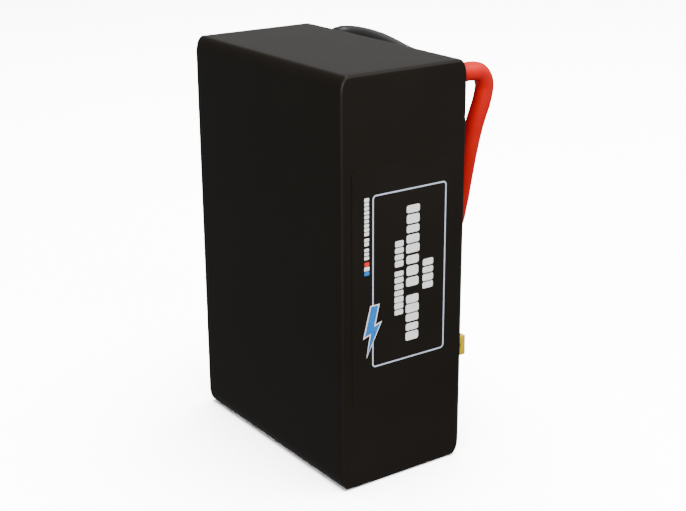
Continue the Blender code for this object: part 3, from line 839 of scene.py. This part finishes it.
def roundedEnd(x, sign, rim):
    # (place, inset) pairs for a rounded rim at an end that faces along sign
    pairs = []
    steps = connectorSpec["rimSteps"]
    for step in range(steps + 1):
        angle = math.pi / 2 * step / steps
        pairs.append((x - sign * rim * (1 - math.cos(angle)), rim * (1 - math.sin(angle))))
    return pairs if sign < 0 else list(reversed(pairs))


def groove(x):
    half = connectorSpec["grooveWidth"] / 2
    depth = connectorSpec["grooveDepth"]
    slope = depth / 2
    return [(x - half - slope, 0.0), (x - half, depth), (x + half, depth), (x + half + slope, 0.0)]


def makeHousing():
    spec = connectorSpec
    back, front = connectorBox[0][0], connectorBox[1][0]
    middleY, middleZ = connectorMiddle[1:]
    profile = roundedEnd(back, -1, spec["rim"])
    for place in spec["housingGrooves"]:
        profile += groove(back + place)
    start, end = spec["stepPlaces"]
    slim = spec["stepIn"]
    profile += [(back + start, 0.0), (back + end, slim), (front - spec["stepStop"], slim)]
    profile += [(place, inset + slim) for place, inset in roundedEnd(front, 1, spec["rim"])]
    housing = shellAlongX("connectorHousing", profile)
    lip = spec["lipDepth"]
    bore = [(back - spec["cutPast"], spec["bore"]), (front - lip, spec["bore"]),
            (front - lip * spec["lipSlope"], spec["mouth"]), (front - spec["mouthRound"], spec["mouth"]),
            (front + spec["mouthRound"], spec["mouth"] + spec["mouthFlare"])]
    tools = [turnedTool(bore, (y, middleZ), "X") for y in (redEnd[1], blackEnd[1])]
    depth, halfAcross, halfUp = spec["slot"]
    tools.append(blockTool((front - depth, middleY - halfAcross, middleZ - halfUp),
                           (front + spec["cutPast"], middleY + halfAcross, middleZ + halfUp)))
    carve(housing, tools)
    return finishPiece(housing, nylonYellow.material, ["connector_housing"], 30)


def makeCap():
    spec = connectorSpec
    back, front = capBox[0][0], capBox[1][0]
    profile = roundedEnd(back, -1, spec["rim"])
    for place in spec["capGrooves"]:
        profile += groove(back + place)
    profile += roundedEnd(front, 1, spec["capRim"])
    cap = shellAlongX("connectorCap", profile)
    middleY = (capBox[0][1] + capBox[1][1]) / 2
    middleZ = (capBox[0][2] + capBox[1][2]) / 2
    outline = slotOutline(middleY, (redEnd[1] - blackEnd[1]) / 2, middleZ, spec["capBore"])
    ends = (back - spec["cutPast"], front + spec["cutPast"])
    carve(cap, [ringPiece("tool", [[(x, y, z) for y, z in outline] for x in ends])])
    return finishPiece(cap, nylonYellow.material, ["connector_cap"], 30)


contactSpec = {
    "sides": 48,
    "outer": 0.0023,
    "edge": 0.0002,
    "frontEdge": 0.0003,
    "neckStart": 0.0050,
    "neckEnd": 0.0065,
    "neckDepth": 0.0003,
    "inner": 0.00175,
    "depth": 0.012,
    "drillPoint": 0.55,
    "drillLength": 0.0008,
    "mouth": 0.0004,
    "mouthFlare": 0.0005,
    "cupInner": 0.0019,
    "cupDepth": 0.0045,
    "slit": 0.00045,
    "slitDepth": 0.009,
    "slitReach": 0.004,
    "cutPast": 0.001,
}


def makeContact(name, node, end):
    # a turned socket with a flared mouth, four slits and a solder cup behind
    spec = contactSpec
    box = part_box(node)
    back, front = box[0][0], box[1][0]
    outer, edge, neck = spec["outer"], spec["edge"], spec["neckDepth"]
    neckStart, neckEnd = back + spec["neckStart"], back + spec["neckEnd"]
    profile = [(back, outer - edge), (back + edge, outer), (neckStart, outer),
               (neckStart + neck, outer - neck), (neckEnd - neck, outer - neck), (neckEnd, outer),
               (front - spec["frontEdge"], outer), (front, outer - edge)]
    _, y, z = end
    contact = ringPiece(name, turnedRings(profile, (y, z), spec["sides"], "X"))
    inner, mouth = spec["inner"], spec["mouth"]
    drilled = front - spec["depth"]
    socket = [(drilled, inner * spec["drillPoint"]), (drilled + spec["drillLength"], inner),
              (front - mouth, inner), (front + mouth, inner + spec["mouthFlare"])]
    cup = [(back - mouth, spec["cupInner"]), (back + spec["cupDepth"], spec["cupInner"])]
    half, reach = spec["slit"] / 2, spec["slitReach"]
    start, stop = front - spec["slitDepth"], front + spec["cutPast"]
    tools = [turnedTool(socket, (y, z), "X"), turnedTool(cup, (y, z), "X")]
    tools.append(blockTool((start, y - half, z - reach), (stop, y + half, z + reach)))
    tools.append(blockTool((start, y - reach, z - half), (stop, y + reach, z + half)))
    carve(contact, tools)
    return finishPiece(contact, goldPlate.material, [node], 30)


connectorHousing = makeHousing()
connectorCap = makeCap()
positiveContact = makeContact("positiveContact", "positive_contact", redEnd)
negativeContact = makeContact("negativeContact", "negative_contact", blackEnd)
print("connector made")


printSpec = {
    "rise": 0.00003,        # thickness of the ink
    "frameMiddle": (0.0019, 0.0727),        # places on the label are along Y, then along Z
    "frameSize": (0.0298, 0.0591),
    "frameLine": 0.0005,
    "frameCorner": 0.0012,
    "frameCornerSteps": 8,
    "rowTitles": ("low", "height", "start", "count", "pitch", "ink", "seed"),
    # each row: lower edge along Y, height, upper end, count of blocks, pitch, ink and seed
    "rows": [
        (0.0074, 0.0046, 0.0770, 4, 0.00272, "white", 3),
        (0.0005, 0.0055, 0.0970, 5, 0.00341, "white", 5),
        (0.0006, 0.0052, 0.0798, 3, 0.00391, "white", 8),
        (0.0005, 0.0055, 0.0656, 5, 0.00331, "white", 13),
        (-0.0042, 0.0037, 0.0854, 4, 0.00232, "white", 21),
        (-0.0042, 0.0037, 0.0750, 7, 0.00227, "white", 34),
        (-0.0165, 0.0019, 0.1021, 9, 0.00142, "white", 55),
        (-0.0165, 0.0019, 0.0887, 2, 0.00138, "white", 89),
        (-0.0165, 0.0019, 0.0853, 3, 0.00138, "white", 144),
        (-0.0165, 0.0021, 0.0806, 1, 0.00158, "red", 2),
        (-0.0165, 0.0021, 0.0790, 1, 0.00158, "white", 4),
        (-0.0165, 0.0021, 0.0774, 1, 0.00158, "blue", 6),
    ],
    "boltMiddle": (-0.0132, 0.0562),
    "boltLength": 0.0170,
    "boltWidth": 0.0066,
    "boltCorners": [(0.42, 1.0), (0.02, 0.40), (0.42, 0.45), (0.18, 0.0), (0.98, 0.62), (0.60, 0.57),
                    (0.86, 1.0)],
    "boltEdge": 0.0004,
    "boltSharpest": 2.4,    # how far a sharp corner of the edge may reach, in margins
    "boltRises": (1.4, 0.6),        # the edge's and the flash's rise, in rises
}
glyphSpec = {
    "fill": 0.92,           # share of the pitch that a block takes
    "round": 0.22,
    "roundSteps": 3,
    "smallest": (0.80, 0.93, 1.0),
    "largest": (1.0, 1.0, 1.0),
    "merge": 0.000002,
}
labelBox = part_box("rating_label")
printBase = labelBox[1][0]
inks = {"white": inkWhite.material, "red": inkRed.material, "blue": inkBlue.material}


def glyphTree():
    # a row of small rounded blocks that run down the label, each a little different
    spec = glyphSpec
    tree = bpy.data.node_groups.new("glyphRow", "GeometryNodeTree")
    face = tree.interface
    sockets = {}
    for title, kind in (("Count", "Int"), ("Pitch", "Float"), ("Height", "Float"), ("Rise", "Float"),
                        ("Start", "Vector"), ("Seed", "Int"), ("Ink", "Material")):
        socket = face.new_socket(name=title, in_out="INPUT", socket_type="NodeSocket" + kind)
        sockets[title] = socket.identifier
    face.new_socket(name="Geometry", in_out="OUTPUT", socket_type="NodeSocketGeometry")
    nodes, links = tree.nodes, tree.links
    given = nodes.new("NodeGroupInput").outputs
    result = nodes.new("NodeGroupOutput")

    def step(kind, inputs, **values):
        # one node, with its properties set and its inputs set or linked
        node = nodes.new(kind)
        for title, value in values.items():
            setattr(node, title, value)
        for title, value in inputs.items():
            if isinstance(value, bpy.types.NodeSocket):
                links.new(value, node.inputs[title])
            else:
                node.inputs[title].default_value = value
        return node.outputs

    def times(output, factor):
        return step("ShaderNodeMath", {0: output, 1: factor}, operation="MULTIPLY")[0]

    down = step("ShaderNodeCombineXYZ", {"Z": times(given["Pitch"], -1.0)})["Vector"]
    line = step("GeometryNodeMeshLine", {"Count": given["Count"], "Start Location": given["Start"],
                                         "Offset": down}, mode="OFFSET")["Mesh"]
    block = step("GeometryNodeCurvePrimitiveQuadrilateral",
                 {"Width": times(given["Pitch"], spec["fill"]), "Height": given["Height"]})["Curve"]
    rounded = step("GeometryNodeFilletCurve",
                   {"Curve": block, "Radius": times(given["Pitch"], spec["round"]),
                    "Count": spec["roundSteps"], "Limit Radius": True}, mode="POLY")["Curve"]
    filled = step("GeometryNodeFillCurve", {"Curve": rounded}, mode="NGONS")["Mesh"]
    sizes = step("FunctionNodeRandomValue", {"Min": spec["smallest"], "Max": spec["largest"],
                                             "Seed": given["Seed"]}, data_type="FLOAT_VECTOR")["Value"]
    placed = step("GeometryNodeInstanceOnPoints", {"Points": line, "Instance": filled, "Scale": sizes,
                                                   "Rotation": (0.0, math.pi / 2, 0.0)})["Instances"]
    flat = step("GeometryNodeRealizeInstances", {"Geometry": placed})["Geometry"]
    out = step("ShaderNodeCombineXYZ", {"X": given["Rise"]})["Vector"]
    raised = step("GeometryNodeExtrudeMesh", {"Mesh": flat, "Offset": out, "Individual": False})["Mesh"]
    under = step("GeometryNodeFlipFaces", {"Mesh": flat})["Mesh"]
    joined = nodes.new("GeometryNodeJoinGeometry")
    links.new(raised, joined.inputs["Geometry"])
    links.new(under, joined.inputs["Geometry"])
    merged = step("GeometryNodeMergeByDistance", {"Geometry": joined.outputs["Geometry"],
                                                  "Distance": spec["merge"]})["Geometry"]
    real = step("GeometryNodeRealizeInstances", {"Geometry": merged})["Geometry"]
    inked = step("GeometryNodeSetMaterial", {"Geometry": real, "Material": given["Ink"]})["Geometry"]
    links.new(inked, result.inputs["Geometry"])
    return tree, sockets


def glyphRow(number, row, tree, sockets):
    piece = linkMesh(f"labelMarks{number}", bpy.data.meshes.new("labelMarks"))
    modifier = piece.modifiers.new("glyphs", "NODES")
    modifier.node_group = tree
    values = {
        "Count": row["count"],
        "Pitch": row["pitch"],
        "Height": row["height"],
        "Rise": printSpec["rise"],
        "Start": (printBase, row["low"] + row["height"] / 2, row["start"] - row["pitch"] / 2),
        "Seed": row["seed"],
        "Ink": inks[row["ink"]],
    }
    for title, value in values.items():
        modifier[sockets[title]] = value
    bakePiece(piece)
    return finishPiece(piece, inks[row["ink"]], (), 60)


def flatBand(name, outer, inner, base, rise, material):
    # a thin raised line between two outlines of equal count on the label
    shape = bmesh.new()
    rows = []
    for outline, x in ((outer, base), (outer, base + rise), (inner, base + rise), (inner, base)):
        rows.append([shape.verts.new((x, y, z)) for y, z in outline])
    count = len(outer)
    for number, near in enumerate(rows):
        far = rows[(number + 1) % len(rows)]
        for index in range(count):
            after = (index + 1) % count
            shape.faces.new((near[index], near[after], far[after], far[index]))
    bmesh.ops.recalc_face_normals(shape, faces=shape.faces)
    piece = linkMesh(name, meshFromShape(name, shape))
    return finishPiece(piece, material, (), 40)


def makeFrameLine():
    spec = printSpec
    middleY, middleZ = spec["frameMiddle"]
    half = spec["frameLine"] / 2
    outlines = []
    for shift in (half, -half):
        corner = spec["frameCorner"] + shift
        halfAcross, halfUp = [size / 2 + shift for size in spec["frameSize"]]
        outline = roundedOutline(halfAcross, halfUp, corner, corner, spec["frameCornerSteps"], 1, 1)
        outlines.append([(middleY + across, middleZ + up) for across, up in outline])
    return flatBand("labelFrame", outlines[0], outlines[1], printBase, spec["rise"], inkSilver.material)


def boltOutline(margin):
    # a plain lightning flash that runs down the label, grown by a margin all round
    spec = printSpec
    middleY, middleZ = spec["boltMiddle"]
    corners = []
    for across, along in spec["boltCorners"]:
        corners.append(Vector((middleY + (across - 0.5) * spec["boltWidth"],
                               middleZ + (along - 0.5) * spec["boltLength"])))
    count = len(corners)
    grown = []
    for index, corner in enumerate(corners):
        before = (corner - corners[index - 1]).normalized()
        after = (corners[(index + 1) % count] - corner).normalized()
        outBefore = Vector((before.y, -before.x))
        outAfter = Vector((after.y, -after.x))
        split = (outBefore + outAfter).normalized()
        reach = min(margin / max(split.dot(outBefore), 0.01), margin * spec["boltSharpest"])
        grown.append(tuple(corner + split * reach))
    return grown


def flatShape(name, outline, base, rise, material):
    shape = bmesh.new()
    shape.faces.new([shape.verts.new((base, y, z)) for y, z in outline])
    made = bmesh.ops.extrude_face_region(shape, geom=list(shape.faces))
    top = [item for item in made["geom"] if isinstance(item, bmesh.types.BMVert)]
    bmesh.ops.translate(shape, verts=top, vec=(rise, 0, 0))
    bmesh.ops.recalc_face_normals(shape, faces=shape.faces)
    piece = linkMesh(name, meshFromShape(name, shape))
    return finishPiece(piece, material, (), 40)


def makeFlash():
    edgeRise, flashRise = [share * printSpec["rise"] for share in printSpec["boltRises"]]
    flatShape("labelFlashEdge", boltOutline(printSpec["boltEdge"]), printBase, edgeRise, inkWhite.material)
    flatShape("labelFlash", boltOutline(0.0), printBase + edgeRise, flashRise, inkBlue.material)


tree, sockets = glyphTree()
for number, values in enumerate(printSpec["rows"], start=1):
    glyphRow(number, dict(zip(printSpec["rowTitles"], values)), tree, sockets)
makeFrameLine()
makeFlash()
print("label printed")


metalLooks = {
    "pouchFoil": {"dark": (0.52, 0.53, 0.55), "light": (0.70, 0.71, 0.73), "rough": (0.28, 0.45),
                  "grain": 500, "depth": 0.00006},
    "brushedAluminium": {"dark": (0.70, 0.71, 0.72), "light": (0.84, 0.85, 0.86), "rough": (0.22, 0.40),
                         "grain": 900, "depth": 0.00001, "stretch": (1, 1, 0.05)},
    "brushedNickel": {"dark": (0.58, 0.54, 0.47), "light": (0.70, 0.66, 0.59), "rough": (0.22, 0.40),
                      "grain": 900, "depth": 0.00001, "stretch": (1, 1, 0.05)},
    "rolledCopper": {"dark": (0.62, 0.27, 0.14), "light": (0.78, 0.38, 0.22), "rough": (0.24, 0.42),
                     "grain": 700, "depth": 0.00001, "stretch": (0.1, 1, 1)},
    "tinnedCopper": {"dark": (0.60, 0.60, 0.58), "light": (0.76, 0.76, 0.74), "rough": (0.25, 0.45),
                     "grain": 900, "depth": 0.00004},
}
fillLooks = {
    "polyimideTape": {"dark": (0.48, 0.24, 0.03), "light": (0.60, 0.34, 0.07), "rough": (0.2, 0.35),
                      "grain": 400, "depth": 0.00003},
    "whiteTape": {"dark": (0.70, 0.70, 0.66), "light": (0.82, 0.82, 0.78), "rough": (0.65, 0.8),
                  "grain": 1800, "depth": 0.00004},
    "closedFoam": {"dark": (0.035, 0.035, 0.035), "light": (0.075, 0.075, 0.075), "rough": (0.85, 1.0),
                   "grain": 1400, "depth": 0.0001},
    "fishPaper": {"dark": (0.34, 0.23, 0.11), "light": (0.48, 0.34, 0.18), "rough": (0.7, 0.85),
                  "grain": 2200, "depth": 0.00003, "specular": 0.4, "stretch": (0.3, 1, 1)},
}
metals = {name: plainFinish(name, metallic=1.0, **look) for name, look in metalLooks.items()}
fills = {name: plainFinish(name, **look) for name, look in fillLooks.items()}
boardLook = {
    "threads": 260.0,       # glass threads per metre
    "waver": 0.6,
    "clothTone": 0.6,
    "cloud": 80,
    "cloudTone": 0.5,
    "bumpStrength": 0.3,
    "bumpDepth": 0.00003,
}


def wovenBoard(name, dark, light, rough):
    # glass cloth under resin: two crossed bands of threads
    look = boardLook
    finish = Finish(name)
    threads = []
    for direction in ("X", "Z"):
        wave = finish.add("ShaderNodeTexWave", bands_direction=direction, Scale=look["threads"],
                          Distortion=look["waver"])
        finish.links.new(finish.place, wave.inputs["Vector"])
        threads.append(wave.outputs["Fac"])
    cloth = finish.combine(threads[0], threads[1], "MULTIPLY")
    cloud = finish.speckle(look["cloud"])
    tone = finish.combine(finish.combine(cloth, look["clothTone"], "MULTIPLY"),
                          finish.combine(cloud, look["cloudTone"], "MULTIPLY"))
    finish.colour(finish.blendColour(tone, dark, light))
    finish.roughness(finish.remap(cloud, rough[0], rough[1]))
    finish.bump(cloth, look["bumpStrength"], look["bumpDepth"])
    return finish


solderMask = wovenBoard("solderMask", (0.010, 0.080, 0.030), (0.022, 0.15, 0.062), (0.25, 0.4))
glassLaminate = wovenBoard("glassLaminate", (0.24, 0.30, 0.13), (0.42, 0.48, 0.26), (0.4, 0.55))
slotFinishes = {
    "pouch": metals["pouchFoil"],
    "tab_aluminium": metals["brushedAluminium"],
    "tab_nickel": metals["brushedNickel"],
    "copper": metals["rolledCopper"],
    "tinned": metals["tinnedCopper"],
    "board": solderMask,
    "glass_fibre": glassLaminate,
    "tape_amber": fills["polyimideTape"],
    "tape_white": fills["whiteTape"],
    "foam": fills["closedFoam"],
    "paper": fills["fishPaper"],
    "label": labelBlack,
    "film": filmBlack,
    "lead_red": siliconeRed,
    "lead_black": siliconeBlack,
    "connector": nylonYellow,
    "contact": goldPlate,
    "seal": sealBlack,
}


def dressNodes():
    for entry in frame["record"]["subparts"]:
        node = frame["nodes"][entry["node"]]
        node.data.materials.clear()
        node.data.materials.append(slotFinishes[entry["material_slot"]].material)


dressNodes()
print("CAD nodes dressed")


studioSpec = {
    "floorSize": 6.0,
    "floorDrop": 0.0002,
    "floorColour": (0.86, 0.86, 0.86),
    "floorDark": (0.8471, 0.8471, 0.8471),
    "floorRough": 0.9,
    "floorGrain": 400,
    "skyBehind": 0.62,      # above the horizon, at the leads' side
    "skyBefore": 0.175,     # above the horizon, at the plain side
    "skyBelow": 0.26,
    "skySeen": 8.0,         # what the camera sees past the floor
    "horizon": (-0.10, 0.10),
    "depthFade": (-0.10, 0.30),
    "aim": (0.0, 0.0, 0.07),
    "lights": [
        {"name": "topSoft", "place": (0.05, 0.05, 1.10), "size": 0.5, "power": 12.0},
        {"name": "frontSoft", "place": (0.62, -0.62, 0.36), "size": 0.4, "power": 10.0},
        {"name": "labelSoft", "place": (0.60, -0.04, 0.60), "size": 0.3, "power": 4.5},
        {"name": "backSoft", "place": (0.45, 0.80, 0.85), "size": 0.7, "power": 4.0},
    ],
    "wash": {"place": (0.0, 0.3, 2.2), "size": 2.5, "power": 900.0},     # lights the floor alone
}


def addLamp(name, place, aim, size, power):
    lamp = bpy.data.lights.new(name, "AREA")
    lamp.shape = "DISK"
    lamp.size = size
    lamp.energy = power
    holder = bpy.data.objects.new(name, lamp)
    holder.location = place
    towards = Vector(aim) - Vector(place)
    holder.rotation_euler = towards.to_track_quat("-Z", "Y").to_euler()
    bpy.context.scene.collection.objects.link(holder)
    return holder


def makeFloor(spec):
    shape = bmesh.new()
    bmesh.ops.create_grid(shape, x_segments=1, y_segments=1, size=spec["floorSize"] / 2)
    floor = linkMesh("studioFloor", meshFromShape("studioFloor", shape))
    floor.location.z = -spec["floorDrop"]
    paper = Finish("studioPaper")
    grain = paper.remap(paper.speckle(spec["floorGrain"]), 0.0, 1.0)
    paper.colour(paper.blendColour(grain, spec["floorDark"], spec["floorColour"]))
    paper.fixed({"Roughness": spec["floorRough"]})
    floor.data.materials.append(paper.material)
    floor.visible_glossy = False
    floor.visible_diffuse = False
    return floor


def makeSky(spec):
    # soft grey light, strongest behind and above, with a plain white backdrop for the camera
    world = bpy.data.worlds.new("studioSky")
    world.use_nodes = True
    nodes, links = world.node_tree.nodes, world.node_tree.links
    direction = nodes.new("ShaderNodeTexCoord")
    parts = nodes.new("ShaderNodeSeparateXYZ")
    links.new(direction.outputs["Generated"], parts.inputs["Vector"])

    def ramp(axis, span, low=0.0, high=1.0):
        node = nodes.new("ShaderNodeMapRange")
        node.interpolation_type = "SMOOTHSTEP"
        for title, value in (("From Min", span[0]), ("From Max", span[1]), ("To Min", low), ("To Max", high)):
            node.inputs[title].default_value = value
        links.new(parts.outputs[axis], node.inputs["Value"])
        return node.outputs["Result"]

    def mixed(factor, first, second):
        node = nodes.new("ShaderNodeMix")
        links.new(factor, node.inputs["Factor"])
        for socket, value in (("A", first), ("B", second)):
            if isinstance(value, float):
                node.inputs[socket].default_value = value
            else:
                links.new(value, node.inputs[socket])
        return node.outputs["Result"]

    depth = ramp("Y", spec["depthFade"], spec["skyBefore"], spec["skyBehind"])
    lit = mixed(ramp("Z", spec["horizon"]), spec["skyBelow"], depth)
    seen = nodes.new("ShaderNodeLightPath").outputs["Is Camera Ray"]
    sky = nodes["Background"]
    sky.inputs["Color"].default_value = (1.0, 1.0, 1.0, 1.0)
    links.new(mixed(seen, lit, spec["skySeen"]), sky.inputs["Strength"])
    bpy.context.scene.world = world


def makeStudio(spec):
    floor = makeFloor(spec)
    makeSky(spec)
    for light in spec["lights"]:
        addLamp(light["name"], light["place"], spec["aim"], light["size"], light["power"])
    wash = spec["wash"]
    washAim = (*wash["place"][:2], 0)
    washLamp = addLamp("floorWash", wash["place"], washAim, wash["size"], wash["power"])
    floorOnly = bpy.data.collections.new("floorOnly")
    floorOnly.objects.link(floor)
    washLamp.light_linking.receiver_collection = floorOnly


makeStudio(studioSpec)
print("studio made")
